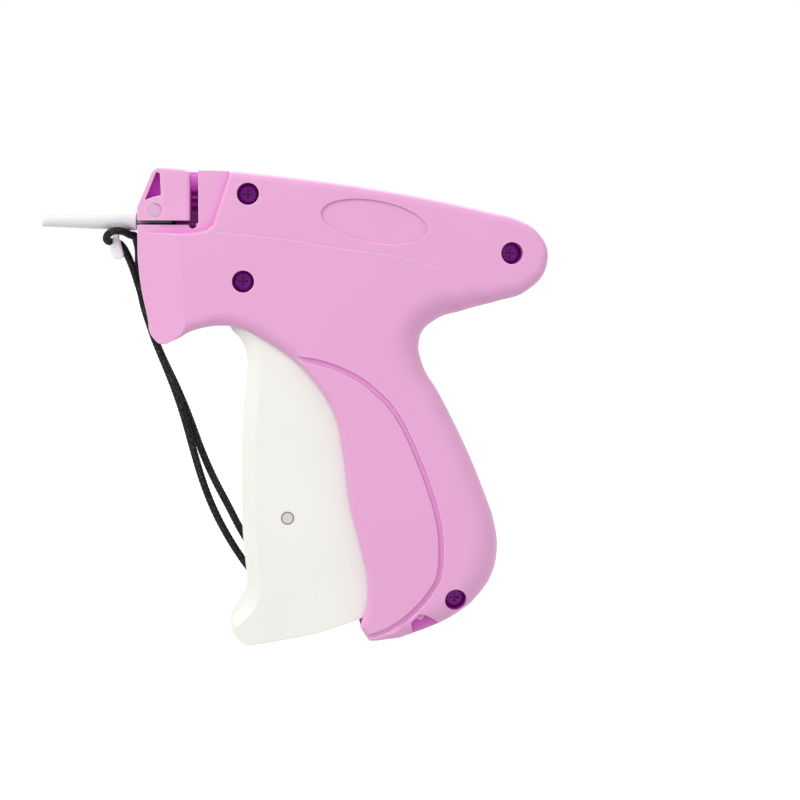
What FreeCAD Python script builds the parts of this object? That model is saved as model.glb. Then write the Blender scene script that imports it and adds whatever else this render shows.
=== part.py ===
import FreeCAD, Part
import math
import os
from FreeCAD import Vector as V

os.makedirs("parts", exist_ok=True)

# Garment tag attacher, millimetres. +Z is up, the muzzle points to -X, the left side is -Y.
# The origin is on the parting plane, in the middle of the hand grip.

# housing
HALF_W = 13.0
WALL = 2.0
# rounding of the outline's outer edge, as X, Z on the outline and radius
ROUNDING = ((-55.8, 83.9, 2.0), (33.0, 70.5, 2.2), (44.0, 62.0, 2.6), (29.3, 47.0, 5.0), (13.4, 42.1, 8.5),
            (23.1, 3.1, 9.0), (29.5, -30.0, 9.0), (10.6, -45.4, 6.5), (-5.9, -48.3, 2.5), (-8.4, -44.4, 1.5),
            (-23.0, 26.9, 2.0), (-34.3, 35.9, 4.0), (-48.0, 40.4, 4.5), (-57.6, 38.0, 3.0),
            (-60.6, 36.4, 2.0),
            (-70.6, 62.4, 1.5))
RECESS_Y = -10.8
RECESS_RIM = 0.5
# axis of needle and ejector rod, and the slit that leads to it
AXIS_Z = 69.6
SLIT = (68.7, 69.9)
SLOT = (-55.9, -53.6)
# screws, centres as X, Z
SCREWS = ((-39.8, 77.3), (-41.2, 52.9), (33.9, 60.8), (18.4, -36.6))
SINK_R = 3.1
SINK_FLOOR = -5.0
BOSS_R = 4.2
SCREW_R = 1.4
SCREW_HEAD_R = 2.7
SCREW_HEAD_H = 2.2
# trigger
HINGE = (-41.2, 52.9)
HINGE_R = 4.4
FIT = 0.05
TRIG_W = 9.0
TRIG_WALL = 2.0
TRIG_BAND_Y = 6.8
TRIG_TOE_R = 102.6
TRIG_FLOOR_R = 98.5
TRIG_SWING = 16.0
PIN_B = (-28.8, -13.7)
PIN_R = 1.5
# lever
FULCRUM = (-10.5, 4.5)
LEVER_SWING = 38.5
LEVER_LEN = 64.0
LEVER_T = 2.5
SLACK = 0.35
# plunger slide
SLIDE_X = 10.6
SLIDE_Z = (62.0, 72.0)
WING_Z = (66.4, 68.6)
ROD_R = 0.5
ROD_TIP = -51.0
# needle and hub
NEEDLE_R = 0.9
NEEDLE_BORE = 0.6
NEEDLE_TIP = -92.0
HUB_R = 2.55
HUB_NOSE_R = 1.6
HUB_X = (-76.0, -61.4)
# clip channel and seat
BLOCK_X = (-60.6, -47.5)
BLOCK_Y = 3.4
SEAT_TOP = 71.3
MOUTH_Z = 82.9
# feed
FEED_Y = 5.6
FEED_Z = 75.4
SHAFT_R = 1.5
WHEEL_R = 4.4
# needle lock and clip release
LOCK = (-65.6, 72.7)
LOCK_R = 1.85
RELEASE = (-51.5, 57.5)
RELEASE_FLOOR = 10.9
# needle cap
CAP_BASE = (-71.4, 69.9, 2.7)
CAP_TIP = (-97.9, 70.25, 1.95)
CAP_WALL = 0.45
# return spring
SPRING_Z = -32.0
SPRING_R = 2.8
SPRING_WIRE = 0.4
SPRING_FRONT = -37.8
SPRING_REAR = 2.0
# tether bar, its pocket in the right half, and the cord
BAR_Z = -43.0
BAR_Y = 9.0
POCKET_TOP = -38.4
CORD_D = 2.2


def save(shape, name):
    """Writes one sub-part and prints its solids and volume."""
    shape = shape.removeSplitter()
    print(name, len(shape.Solids), round(shape.Volume, 1), shape.isValid())
    shape.exportStep("parts/" + name + ".step")
    return shape


def at(p, y=0.0):
    """A point given as X, Z, set in the plane Y = y."""
    return V(p[0], y, p[1])


def unit(v):
    n = math.hypot(v[0], v[1])
    return (v[0] / n, v[1] / n)


def tangent_arc(p, t, q):
    """The arc from p to q that leaves p along t, or a straight run where it would be flat."""
    d = (q[0] - p[0], q[1] - p[1])
    side = t[0] * d[1] - t[1] * d[0]
    chord2 = d[0] ** 2 + d[1] ** 2
    if abs(side) < 1e-4 * math.sqrt(chord2):
        return line(p, q)
    r = chord2 / (2.0 * side)
    c = (p[0] - t[1] * r, p[1] + t[0] * r)
    m = unit((0.5 * (p[0] + q[0]) - c[0], 0.5 * (p[1] + q[1]) - c[1]))
    k = abs(r) if t[0] * d[0] + t[1] * d[1] > 0 else -abs(r)
    return arc(p, (c[0] + m[0] * k, c[1] + m[1] * k), q)


def two_arcs(p, tp, q, tq):
    """Two arcs from p to q, tangent to tp and tq and to each other."""
    v = (q[0] - p[0], q[1] - p[1])
    t = (tp[0] + tq[0], tp[1] + tq[1])
    vt = v[0] * t[0] + v[1] * t[1]
    vv = v[0] ** 2 + v[1] ** 2
    den = 2.0 * (1.0 - tp[0] * tq[0] - tp[1] * tq[1])
    if den < 1e-7:
        d = vv / (4.0 * (v[0] * tq[0] + v[1] * tq[1]))
    else:
        d = (-vt + math.sqrt(vt * vt + 2.0 * (1.0 - tp[0] * tq[0] - tp[1] * tq[1]) * vv)) / den
    m = (0.5 * (p[0] + q[0] + d * (tp[0] - tq[0])), 0.5 * (p[1] + q[1] + d * (tp[1] - tq[1])))
    back = tangent_arc(q, (-tq[0], -tq[1]), m)
    return [tangent_arc(p, tp, m), back]


def curve(points, start=None, end=None):
    """A smooth run of tangent arcs through points of the side view."""
    tangents = []
    last = len(points) - 1
    for i in range(len(points)):
        if i == 0 and start is not None:
            tangents.append(unit(start))
        elif i == last and end is not None:
            tangents.append(unit(end))
        elif 0 < i < last:
            a, b, c = points[i - 1], points[i], points[i + 1]
            la = math.hypot(b[0] - a[0], b[1] - a[1])
            lc = math.hypot(c[0] - b[0], c[1] - b[1])
            ua = unit((b[0] - a[0], b[1] - a[1]))
            uc = unit((c[0] - b[0], c[1] - b[1]))
            tangents.append(unit((ua[0] * lc + uc[0] * la, ua[1] * lc + uc[1] * la)))
        else:
            a, b = (points[0], points[1]) if i == 0 else (points[-2], points[-1])
            tangents.append(unit((b[0] - a[0], b[1] - a[1])))
    edges = []
    for i in range(last):
        edges += two_arcs(points[i], tangents[i], points[i + 1], tangents[i + 1])
    return edges


def line(a, b):
    return Part.LineSegment(at(a), at(b)).toShape()


def arc(a, m, b):
    return Part.Arc(at(a), at(m), at(b)).toShape()


def prism(outline, y0, y1):
    """A side-view outline, given as points or edges, extruded from y0 to y1."""
    if not isinstance(outline[0], Part.Shape):
        outline = [line(a, b) for a, b in zip(outline, outline[1:] + outline[:1])]
    face = Part.Face(Part.Wire(outline))
    face.translate(V(0, y0, 0))
    return face.extrude(V(0, y1 - y0, 0))


def box(x0, x1, y0, y1, z0, z1):
    return Part.makeBox(x1 - x0, y1 - y0, z1 - z0, V(x0, y0, z0))


def rod_y(p, r, y0, y1):
    return Part.makeCylinder(r, y1 - y0, V(p[0], y0, p[1]), V(0, 1, 0))


def rod_x(y, z, r, x0, x1):
    return Part.makeCylinder(r, x1 - x0, V(x0, y, z), V(1, 0, 0))


def union(shapes):
    first = shapes[0]
    return first.fuse(list(shapes[1:])) if len(shapes) > 1 else first


def mirror(shape):
    return shape.mirror(V(0, 0, 0), V(0, 1, 0))


# ---------------------------------------------------------------- housing

def spans():
    """The housing's side-view outline: smooth curves that meet at the lip and at the top of the nose."""
    back = curve([(-55.8, 83.9), (-44.5, 83.6), (-34.2, 82.6), (-11.8, 79.8), (10.6, 76.0), (27.4, 72.3),
                  (34.4, 70.6), (40.5, 67.4), (44.0, 62.0), (43.2, 55.2), (37.9, 49.8), (29.3, 47.0),
                  (20.7, 44.6), (13.4, 42.1), (9.5, 38.8), (8.4, 34.4), (9.4, 29.7), (14.4, 20.8),
                  (18.9, 12.1), (23.1, 3.1), (26.8, -6.0), (29.9, -14.9), (30.9, -21.8), (29.5, -30.0),
                  (25.3, -36.4), (19.2, -41.3), (10.6, -45.4), (5.0, -47.2), (-0.6, -48.0), (-5.9, -48.3)],
                 (1, -0.02), (-1, -0.03))
    lip = [line((-5.9, -48.3), (-8.4, -44.4))]
    front = curve([(-8.4, -44.4), (-6.5, -38.5), (-6.3, -31.5), (-8.4, -21.8), (-11.6, -9.0), (-13.0, 2.8),
                   (-15.9, 16.0), (-23.0, 26.9), (-34.3, 35.9), (-41.1, 39.4), (-48.0, 40.4), (-55.5, 39.0),
                   (-60.6, 36.4), (-63.9, 35.4), (-66.7, 37.7), (-67.9, 43.1), (-69.8, 52.5), (-70.6, 62.4)],
                  (0.2, 1), (0, 1))
    nose_top = [line((-70.6, 62.4), (-70.6, 73.5)), line((-70.6, 73.5), (-66.4, 83.4)),
                line((-66.4, 83.4), (-64.8, 84.6)), line((-64.8, 84.6), (-55.8, 83.9))]
    return back + lip + front + nose_top


def outline_face():
    return Part.Face(Part.Wire(spans()))


def outer_edges(solid, y):
    found = []
    for e in solid.Edges:
        b = e.BoundBox
        if abs(b.YMin - y) < 1e-3 and abs(b.YMax - y) < 1e-3:
            found.append(e)
    return found


def chain(edges):
    """Start points and running lengths along a closed run of edges."""
    starts = []
    for e, n in zip(edges, edges[1:] + edges[:1]):
        a, b = e.valueAt(e.FirstParameter), e.valueAt(e.LastParameter)
        c, d = n.valueAt(n.FirstParameter), n.valueAt(n.LastParameter)
        starts.append(a if min((b - c).Length, (b - d).Length) < 1e-4 else b)
    run = [0.0]
    for e in edges:
        run.append(run[-1] + e.Length)
    return starts, run


def radius_law(edges, inset):
    """The rounding radius at a point near the outline, eased between the stated ones."""
    starts, run = chain(edges)

    def where(x, z):
        return run[min(range(len(starts)), key=lambda i: math.hypot(starts[i].x - x, starts[i].z - z))]

    keys = sorted((where(x, z), max(0.4, r - inset)) for x, z, r in ROUNDING)

    def radius(p):
        u = where(p.x, p.z)
        if u <= keys[0][0]:
            return keys[0][1]
        for (u0, r0), (u1, r1) in zip(keys, keys[1:]):
            if u <= u1:
                t = (u - u0) / (u1 - u0)
                return r0 + (r1 - r0) * t * t * (3 - 2 * t)
        return keys[-1][1]

    return radius


def rounded(face, half_w, radius):
    """A face extruded from the parting plane to -half_w, its outer edge rounded by a varying radius."""
    body = face.extrude(V(0, -half_w, 0))
    picks = []
    for i, e in enumerate(body.Edges):
        b = e.BoundBox
        if abs(b.YMin + half_w) < 1e-3 and abs(b.YMax + half_w) < 1e-3:
            ends = [v.Point for v in e.Vertexes]
            picks.append((i + 1, radius(ends[0]), radius(ends[-1])))
    doc = FreeCAD.newDocument()
    base = doc.addObject("Part::Feature", "base")
    base.Shape = body
    fillet = doc.addObject("Part::Fillet", "fillet")
    fillet.Base = base
    fillet.Edges = picks
    doc.recompute()
    done = fillet.Shape.copy()
    FreeCAD.closeDocument(doc.Name)
    return done


def housing_blank():
    return rounded(outline_face(), HALF_W, radius_law(spans(), 0.0))


def housing_hollow():
    """The space inside the walls, in three depths that follow the rounded rear of the grip."""
    face = outline_face()
    parts = []
    for inset, depth in ((WALL, 6.5), (WALL + 1.3, 9.4), (WALL + 3.6, HALF_W - WALL)):
        parts.append(face.makeOffset2D(-inset).extrude(V(0, -depth, 0)))
    flat = prism([(-62.5, 75.0), (-40.0, 81.3), (-12.0, 77.4), (10.6, 73.8), (29.0, 69.6), (35.0, 66.5),
                  (38.0, 60.0),
                  (33.0, 53.0), (12.0, 47.0), (5.2, 40.0), (2.0, 32.0), (10.0, 16.0), (16.0, -6.0),
                  (15.0, -30.0),
                  (2.0, -44.0), (-5.0, -43.5), (-4.0, -36.0), (-11.0, 2.0), (-14.0, 16.0), (-24.0, 32.0),
                  (-36.0, 41.0), (-48.0, 45.5), (-62.5, 43.0)], -(HALF_W - WALL), 0.0)
    return union(parts + [flat.common(parts[0])])


def bosses(blank):
    posts = []
    for c in SCREWS:
        r = HINGE_R if c == HINGE else BOSS_R
        posts.append(rod_y(c, r, -HALF_W + 1.0, 0.0))
    return union(posts).common(blank)


def groove():
    """The shallow groove that follows the grip's front and runs off under the foot."""
    path = curve([(-30.0, 31.7), (-25.2, 31.2), (-19.6, 30.2), (-14.1, 28.3), (-8.5, 25.4), (-2.9, 20.8),
                  (-0.1, 17.9), (2.7, 13.7), (5.5, 8.25), (8.3, 1.55), (11.1, -6.0), (12.9, -12.1),
                  (13.8, -16.6), (14.2, -22.2), (13.9, -28.0), (13.2, -31.0), (11.5, -33.9), (9.4, -36.8),
                  (6.6, -39.7), (3.4, -42.4), (-1.6, -45.4), (-6.5, -47.0), (-8.5, -47.5)],
                 (1, -0.08), (-0.97, -0.25))
    x0, z0 = -30.0, 31.7
    corners = [V(x0, -14, z0 - 1.2), V(x0, -14, z0 + 1.2), V(x0, -12.0, z0 + 0.5),
               V(x0, -12.0, z0 - 0.5), V(x0, -14, z0 - 1.2)]
    return Part.Wire(path).makePipeShell([Part.makePolygon(corners)], True, True)


def groove_end():
    """The slope that widens the groove where it runs out under the foot."""
    tilted = Part.makePolygon([V(4.2, -12.05, -42.6), V(-8.0, -12.05, -47.6), V(-2.4, -13.1, -48.6),
                               V(4.2, -12.05, -42.6)])
    return Part.Face(tilted).extrude(V(0, -3, 0))


def oval():
    """The shallow, bare oval on the head's side."""
    e = Part.Ellipse(V(0, 0, 0), 15.1, 5.9).toShape()
    face = Part.Face(Part.Wire([e]))
    face.rotate(V(0, 0, 0), V(1, 0, 0), 90)
    face.rotate(V(0, 0, 0), V(0, 1, 0), 10)
    face.translate(V(-4.6, -HALF_W + 0.6, 69.6))
    return face.extrude(V(0, -2, 0))


def crease():
    """The faint step along the head's side, below the oval."""
    path = curve([(-49.5, 66.9), (-25.2, 64.1), (-16.9, 62.7), (10.8, 57.7), (13.8, 56.6)])
    x0, z0 = -49.5, 66.9
    corners = [V(x0, -13.4, z0 - 0.35), V(x0, -12.85, z0 - 0.05), V(x0, -13.4, z0 + 1.9),
               V(x0, -13.4, z0 - 0.35)]
    return Part.Wire(path).makePipeShell([Part.makePolygon(corners)], True, True)


def front_bevel(x_edge, x_front, y_edge, y_front, lean):
    """What a slanting cut takes off the side in front of an edge, which leans forward with height."""
    pts = [V(x_edge, y_edge, 20), V(x_front, y_front, 20), V(x_front, -16, 20), V(x_edge, -16, 20),
           V(x_edge, y_edge, 20)]
    return Part.Face(Part.makePolygon(pts)).extrude(V(-lean, 0, 80))


def widened(points, by):
    """A side-view polygon with every side moved outward."""
    turn = sum(p[0] * q[1] - q[0] * p[1] for p, q in zip(points, points[1:] + points[:1]))
    out = []
    for p, q, r in zip(points[-1:] + points[:-1], points, points[1:] + points[:1]):
        u, w = unit((q[0] - p[0], q[1] - p[1])), unit((r[0] - q[0], r[1] - q[1]))
        k = math.copysign(by, turn) / (1.0 + u[0] * w[0] + u[1] * w[1])
        out.append((q[0] + k * (u[1] + w[1]), q[1] - k * (u[0] + w[0])))
    return out


def recess():
    """The lowered field round the feed slot, past which the fasteners' paddles go, its rim broken."""
    field = [(-75.0, 66.6), (-70.3, 66.6), (-59.7, 66.3), (-54.4, 66.5), (-51.2, 67.3), (-49.5, 68.6),
             (-45.0, 82.1), (-44.4, 90.0), (-75.0, 90.0)]
    y = -HALF_W + RECESS_RIM
    rings = []
    for level, by in ((y, 0.0), (y - 0.6, 0.6)):
        pts = [at(p, level) for p in widened(field, by)]
        rings.append(Part.makePolygon(pts + pts[:1]))
    return prism(field, -16.0, RECESS_Y).fuse(Part.makeLoft(rings, True, True))


def trigger_mouth():
    """The opening in the guard, the grip's front and the foot that the trigger moves in."""
    r = TRIG_TOE_R + 0.7
    foot = [(x, HINGE[1] - math.sqrt(r ** 2 - (x - HINGE[0]) ** 2)) for x in (-8.2, -3.0)]
    return prism([(-46.8, 44.5), (-46.8, -60.0), (-8.6, -60.0)] + foot +
                 [(-1.0, -30.0), (-5.0, -8.0), (-7.5, 8.0), (-13.0, 22.0), (-22.0, 34.0), (-34.0, 44.5)],
                 -(TRIG_W + 0.6), 0.0)


def rails():
    """Ribs above and below the slide's wing, and the ribs that hold the clip channel."""
    parts = [box(-38.0, 17.5, -11.4, -6.1, WING_Z[1] + 0.3, WING_Z[1] + 1.7),
             box(-38.0, 17.5, -11.4, -6.1, WING_Z[0] - 1.7, WING_Z[0] - 0.3),
             box(BLOCK_X[0], BLOCK_X[0] + 2.6, -11.4, -BLOCK_Y, 65.5, 81.0),
             box(-50.5, -48.0, -11.4, -BLOCK_Y, 65.5, 81.0)]
    return union(parts)


def bracket_posts():
    return box(9.2, 13.6, -11.4, -5.4, 1.0, 8.0)


def spring_post():
    """The spring's rear seat: a rib that reaches in over the path of the trigger's foot."""
    a, b, c = [foot_point(angle, TRIG_FLOOR_R - 0.5) for angle in (26.2, 35.0, 44.5)]
    rib = prism([arc(a, b, c), line(c, (30.0, -8.0)), line((30.0, -8.0), (14.0, -19.0)),
                 line((14.0, -19.0), (SPRING_REAR, SPRING_Z + 3.1)), line((SPRING_REAR, SPRING_Z + 3.1), a)],
                -2.6, 0.0)
    tip = rod_x(0, SPRING_Z, 2.0, SPRING_REAR - 3.0, SPRING_REAR + 1.5)
    seat = rod_x(0, SPRING_Z, 3.1, SPRING_REAR, SPRING_REAR + 1.0)
    return union([rib, tip.common(box(-10, 40, -20, 0, -60, 0)), seat.common(box(-10, 40, -20, 0, -60, 0))])


def shell_half():
    """What both halves share, modelled as the left half."""
    blank = housing_blank()
    hollow = housing_hollow()
    hollow = hollow.common(box(-62.5, 60.0, -HALF_W, 1.0, -60.0, 100.0))
    hollow = hollow.cut(box(-63.0, -43.4, -HALF_W, -8.6, 64.5, 100.0))
    foot_block = box(2.6, 16.4, -HALF_W, 1.0, -50.0, POCKET_TOP + 2.0)
    hollow = hollow.cut(foot_block.cut(rod_y(HINGE, TRIG_TOE_R + 0.4, -20.0, 2.0)))
    shell = blank.cut(hollow)
    inner = union([bosses(blank), rails().common(blank), bracket_posts(), spring_post().common(blank)])
    shell = shell.fuse(inner)
    shell = shell.cut(front_bevel(-54.8, -68.9, -HALF_W, -9.6, 8.4))
    shell = shell.cut(groove())
    shell = shell.cut(groove_end())
    shell = shell.cut(oval())
    shell = shell.cut(trigger_mouth())
    shell = shell.cut(box(BLOCK_X[0], BLOCK_X[1], -BLOCK_Y, 1.0, 65.5, 100.0))
    shell = shell.cut(rod_x(0, AXIS_Z, HUB_R, -75.0, BLOCK_X[0]))
    shell = shell.cut(box(-61.3, -60.5, -2.5, 0.5, SEAT_TOP - 0.3, 76.2))
    shell = shell.cut(rod_x(0, AXIS_Z, 2.1, -50.0, -40.0))
    shell = shell.cut(rod_y(LOCK, LOCK_R + FIT, -20.0, 1.0))
    return shell


def bar_pocket(deep):
    return prism([(8.1, -40.4), (10.0, -40.8), (12.0, -41.9), (13.8, -43.4), (16.5, -46.5), (16.5, -52.0),
                  (6.9, -52.0), (5.8, -42.9)], -20.0, deep)


def left_shell(half):
    shell = half.cut(recess()).cut(crease())
    for c in SCREWS:
        shell = shell.cut(rod_y(c, SINK_R, -20.0, SINK_FLOOR))
        shell = shell.cut(rod_y(c, SCREW_R + 0.2, -20.0, 1.0))
    shell = shell.cut(box(SLOT[0], SLOT[1], -20.0, 0.5, 69.1, 100.0))
    shell = shell.cut(box(-75.0, SLOT[0] + 0.7, -20.0, 0.5, SLIT[0], SLIT[1]))
    shell = shell.cut(rod_y((-55.2, 68.7), 1.1, -20.0, 0.5))
    shell = shell.cut(box(-75.0, SLOT[0], -20.0, -BLOCK_Y, SLIT[1], 100.0))
    shell = shell.cut(box(-75.0, BLOCK_X[0], -20.0, 0.5, SLIT[1], 100.0))
    shell = shell.cut(bar_pocket(-7.0))
    shell = shell.cut(box(-47.6, -44.0, -9.6, 1.0, 70.0, 81.6))
    return shell.fuse(rod_y((8.3, -40.9), 1.25, -11.6, -6.0))


def right_shell(half):
    shell = mirror(half)
    for c in SCREWS:
        shell = shell.cut(rod_y(c, SCREW_R, -1.0, 8.5))
    shell = shell.cut(rod_x(FEED_Y, FEED_Z, SHAFT_R + FIT, BLOCK_X[0], -44.0))
    shell = shell.cut(rod_x(FEED_Y, FEED_Z, WHEEL_R + 0.6, -58.0, -50.5))
    shell = shell.cut(box(-47.9, -43.9, -0.5, 10.8, 69.6, 81.6))
    shell = shell.fuse(rod_y(RELEASE, 4.2, 9.3, 11.5))
    shell = shell.cut(rod_y(RELEASE, 1.5, 0.0, 20.0))
    shell = shell.cut(rod_y(RELEASE, 3.3, RELEASE_FLOOR, 20.0))
    shell = shell.cut(prism([(6.0, -60.0), (6.0, -41.2), (8.4, POCKET_TOP), (13.8, POCKET_TOP), (13.8, -60.0)],
                            3.4, 20.0))
    return shell.cut(tether_bar())


def nose_block():
    """The separate front block above the slit, from the parting plane to the left side."""
    form = prism([(-70.6, SLIT[1]), (-70.6, 73.5), (-66.4, 83.4), (-64.8, 84.6), (-57.6, 84.05),
                  (-56.5, 83.6), (-55.9, 82.5), (-55.9, SLIT[1])],
                 -12.4, 0.0)
    rims = []
    for e in outer_edges(form, -12.4):
        if e.CenterOfMass.z > SLIT[1] + 0.1:
            rims.append(e)
    form = form.makeFillet(1.0, rims)
    form = form.cut(front_bevel(-62.5, -72.5, -12.5, -10.4, 0.0))
    form = form.cut(prism([(-65.2, 83.4), (-64.2, 83.0), (-63.9, 76.9), (-66.1, 76.4), (-68.4, 75.6)],
                          -20.0, -8.0))
    form = form.cut(box(BLOCK_X[0], 0.0, -BLOCK_Y, 1.0, 60.0, 90.0))
    form = form.cut(rod_x(0, AXIS_Z, HUB_R, -75.0, BLOCK_X[0]))
    form = form.cut(box(-61.3, -60.5, -2.5, 0.5, SEAT_TOP - 0.3, 76.2))
    return form.cut(rod_y(LOCK, LOCK_R + FIT, -20.0, 1.0))


def case_screws():
    screws = []
    for c in SCREWS:
        head = rod_y(c, SCREW_HEAD_R, SINK_FLOOR - SCREW_HEAD_H, SINK_FLOOR)
        rim = [e for e in outer_edges(head, SINK_FLOOR - SCREW_HEAD_H)]
        head = head.makeFillet(0.8, rim)
        cross = union([box(c[0] - 1.5, c[0] + 1.5, -9.0, -6.2, c[1] - 0.35, c[1] + 0.35),
                       box(c[0] - 0.35, c[0] + 0.35, -9.0, -6.2, c[1] - 1.5, c[1] + 1.5)])
        screws.append(head.cut(cross).fuse(rod_y(c, SCREW_R, SINK_FLOOR, 8.0)))
    return Part.Compound([x.removeSplitter() for x in screws])


# ---------------------------------------------------------------- needle, clip channel and knife

def needle():
    tube = rod_x(0, AXIS_Z, NEEDLE_R, NEEDLE_TIP, HUB_X[1])
    tube = tube.cut(rod_x(0, AXIS_Z, NEEDLE_BORE, NEEDLE_TIP - 1, HUB_X[1] + 1))
    tube = tube.cut(box(NEEDLE_TIP - 1, HUB_X[1] + 1, -3.0, 0.0, AXIS_Z - 0.35, AXIS_Z + 0.35))
    point = prism([(NEEDLE_TIP - 1, AXIS_Z - 3.0), (NEEDLE_TIP - 1, AXIS_Z + 1.2),
                   (NEEDLE_TIP, AXIS_Z + 1.2),
                   (NEEDLE_TIP + 3.4, AXIS_Z - 1.2), (NEEDLE_TIP + 3.4, AXIS_Z - 3.0)], -3.0, 3.0)
    return tube.cut(point)


def needle_hub():
    hub = rod_x(0, AXIS_Z, HUB_R, -70.9, HUB_X[1])
    hub = hub.fuse(rod_x(0, AXIS_Z, HUB_NOSE_R, HUB_X[0], -70.9))
    hub = hub.cut(rod_x(0, AXIS_Z, NEEDLE_R, HUB_X[0] - 1, HUB_X[1] + 1))
    hub = hub.cut(box(HUB_X[0] - 1, HUB_X[1] + 1, -4.0, 0.0, SLIT[0], SLIT[1] + 0.3))
    return hub.cut(rod_y(LOCK, LOCK_R + 0.15, -5.0, 5.0))


def clip_channel():
    block = box(BLOCK_X[0], BLOCK_X[1], -BLOCK_Y, BLOCK_Y, SEAT_TOP, MOUTH_Z)
    block = block.cut(box(-59.5, -49.2, -1.6, 1.6, 60.0, 90.0))
    block = block.cut(box(SLOT[0], SLOT[1], -5.0, 0.0, 60.0, 90.0))
    return block.cut(rod_x(FEED_Y, FEED_Z, WHEEL_R + 0.5, -56.9, -52.1))


def needle_seat():
    block = box(BLOCK_X[0], BLOCK_X[1], -BLOCK_Y, BLOCK_Y, 65.5, SEAT_TOP)
    block = block.fuse(rod_x(0, AXIS_Z, 2.0, BLOCK_X[1], -41.0).cut(box(-50.0, BLOCK_X[1], -4, 4, 60, 80)))
    block = block.cut(rod_x(0, AXIS_Z, NEEDLE_BORE, -70.0, -40.0))
    block = block.cut(box(-59.5, -49.2, -0.75, 0.75, AXIS_Z, 75.0))
    block = block.cut(rod_x(0, AXIS_Z, 0.75, -59.5, -49.2))
    block = block.cut(box(-62.0, SLOT[1], -5.0, 0.0, SLIT[0], SLIT[1]))
    return block.cut(box(SLOT[0], SLOT[1], -5.0, 0.0, 67.6, 75.0))


def knife():
    return prism([(-61.25, 71.9), (-60.65, 71.4), (-60.65, 76.1), (-61.25, 76.1)], -2.4, 2.4)


# ---------------------------------------------------------------- trigger and lever

def trigger_front():
    return [(-45.5, 45.6), (-44.8, 40.0), (-41.6, 36.0), (-40.2, 31.6), (-40.5, 24.6), (-41.3, 15.7),
            (-41.7, 4.5), (-41.7, -6.0), (-41.4, -18.0), (-40.7, -26.0), (-40.2, -31.4), (-40.3, -34.4),
            (-41.4, -37.4), (-43.2, -40.3), (-44.2, -41.6), (-44.9, -43.0), (-44.8, -45.0)]


def trigger_crease():
    """Where the flat side ends and the slanting front band begins, point for point beside the front."""
    return [(-42.0, 45.6), (-41.2, 40.4), (-37.9, 36.9), (-36.5, 31.6), (-36.4, 24.6), (-37.3, 15.7),
            (-37.8, 4.5), (-37.8, -6.0), (-37.4, -18.0), (-36.9, -26.0), (-36.5, -32.0), (-36.6, -35.2),
            (-37.4, -38.2), (-39.0, -40.6), (-41.0, -42.6), (-43.0, -44.2), (-44.5, -45.1)]


def trigger_outline(front, end):
    """The closed side view of the trigger's blank for one of its two front lines."""
    toe = [(-42.9, -47.6), (-41.0, -49.3), (-39.6, -49.6)]
    sole = [(-36.5, -49.3), (-30.2, -48.2), (-23.5, -47.0), (-17.6, -45.5), (-13.4, -44.1), (-8.3, -42.3),
            (-4.4, -40.9)]
    edges = curve(front, (0.1, -1), end) + curve([front[-1]] + toe, (0.4, -0.92), (1, 0.05))
    edges += curve([toe[-1]] + sole, (1, 0.05), (0.94, 0.34))
    far, top = (10.0, sole[-1][1] + 5.0), (10.0, front[0][1] + 3.0)
    return edges + [line(sole[-1], far), line(far, top), line(top, front[0])]


def foot_point(angle, r):
    """A point of the trigger's bottom arc, at an angle behind the vertical through its hinge."""
    a = math.radians(angle)
    return (HINGE[0] + r * math.sin(a), HINGE[1] - r * math.cos(a))


def trigger():
    """A channel, open at the back, that hangs on two rings round the hinge bosses."""
    body = prism(trigger_outline(trigger_front(), (0.05, -1)), -TRIG_BAND_Y, TRIG_BAND_Y)
    for side in (-1, 1):
        rings = []
        for front, end, y in ((trigger_front(), (0.05, -1), TRIG_BAND_Y),
                              (trigger_crease(), (-0.9, -0.5), TRIG_W)):
            ring = Part.Wire(trigger_outline(front, end))
            ring.translate(V(0, side * y, 0))
            rings.append(ring)
        body = body.fuse(Part.makeLoft(rings, True, True))
    behind = [(-4.4, -60.0), (-4.4, -40.9), (-3.6, -34.0), (-6.0, -22.0), (-9.3, -6.0), (-10.8, 6.0),
              (-13.2, 16.5), (-19.5, 27.5), (-28.0, 38.0), (-34.5, 46.4), (-52.0, 45.2), (-52.0, 80.0),
              (30.0, 80.0), (30.0, -60.0)]
    body = body.cut(prism(behind, -20.0, 20.0))
    body = body.fuse(rod_y(HINGE, 7.5, -TRIG_W, TRIG_W))
    shifted = [(x + TRIG_WALL, z) for x, z in trigger_front()[1:-2]]
    d, e, f = foot_point(1.5, 100.5), foot_point(12.0, 98.8), foot_point(26.0, 99.0)
    inner = curve([(-43.8, 48.0)] + shifted + [d], (0, -1), (0.4, -1)) + [arc(d, e, f)]
    inner += [line(f, (30.0, -20.0)), line((30.0, -20.0), (30.0, 80.0)), line((30.0, 80.0), (-60.0, 80.0)),
              line((-60.0, 80.0), (-60.0, 48.0)), line((-60.0, 48.0), (-43.8, 48.0))]
    body = body.cut(prism(inner, -(TRIG_W - TRIG_WALL), TRIG_W - TRIG_WALL))
    body = body.cut(rod_y(HINGE, HINGE_R + FIT, -20.0, 20.0))
    body = body.cut(rod_y(PIN_B, PIN_R, -20.0, 20.0))
    seat = rod_x(0, SPRING_Z, 2.0, -39.6, -35.0)
    return body.fuse(seat)


def trigger_pin():
    return rod_y(PIN_B, PIN_R, -(TRIG_W + 0.1), TRIG_W + 0.1)


def turned(p, c, degrees):
    a = math.radians(degrees)
    x, z = p[0] - c[0], p[1] - c[1]
    return (c[0] + x * math.cos(a) - z * math.sin(a), c[1] + x * math.sin(a) + z * math.cos(a))


def cam_path(steps=8):
    """Where the trigger's pin lies in the lever as both turn at a constant ratio."""
    path = []
    for i in range(steps + 1):
        s = i / steps
        pin = turned(PIN_B, HINGE, TRIG_SWING * s)
        path.append(turned(pin, FULCRUM, -LEVER_SWING * s))
    return path


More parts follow.
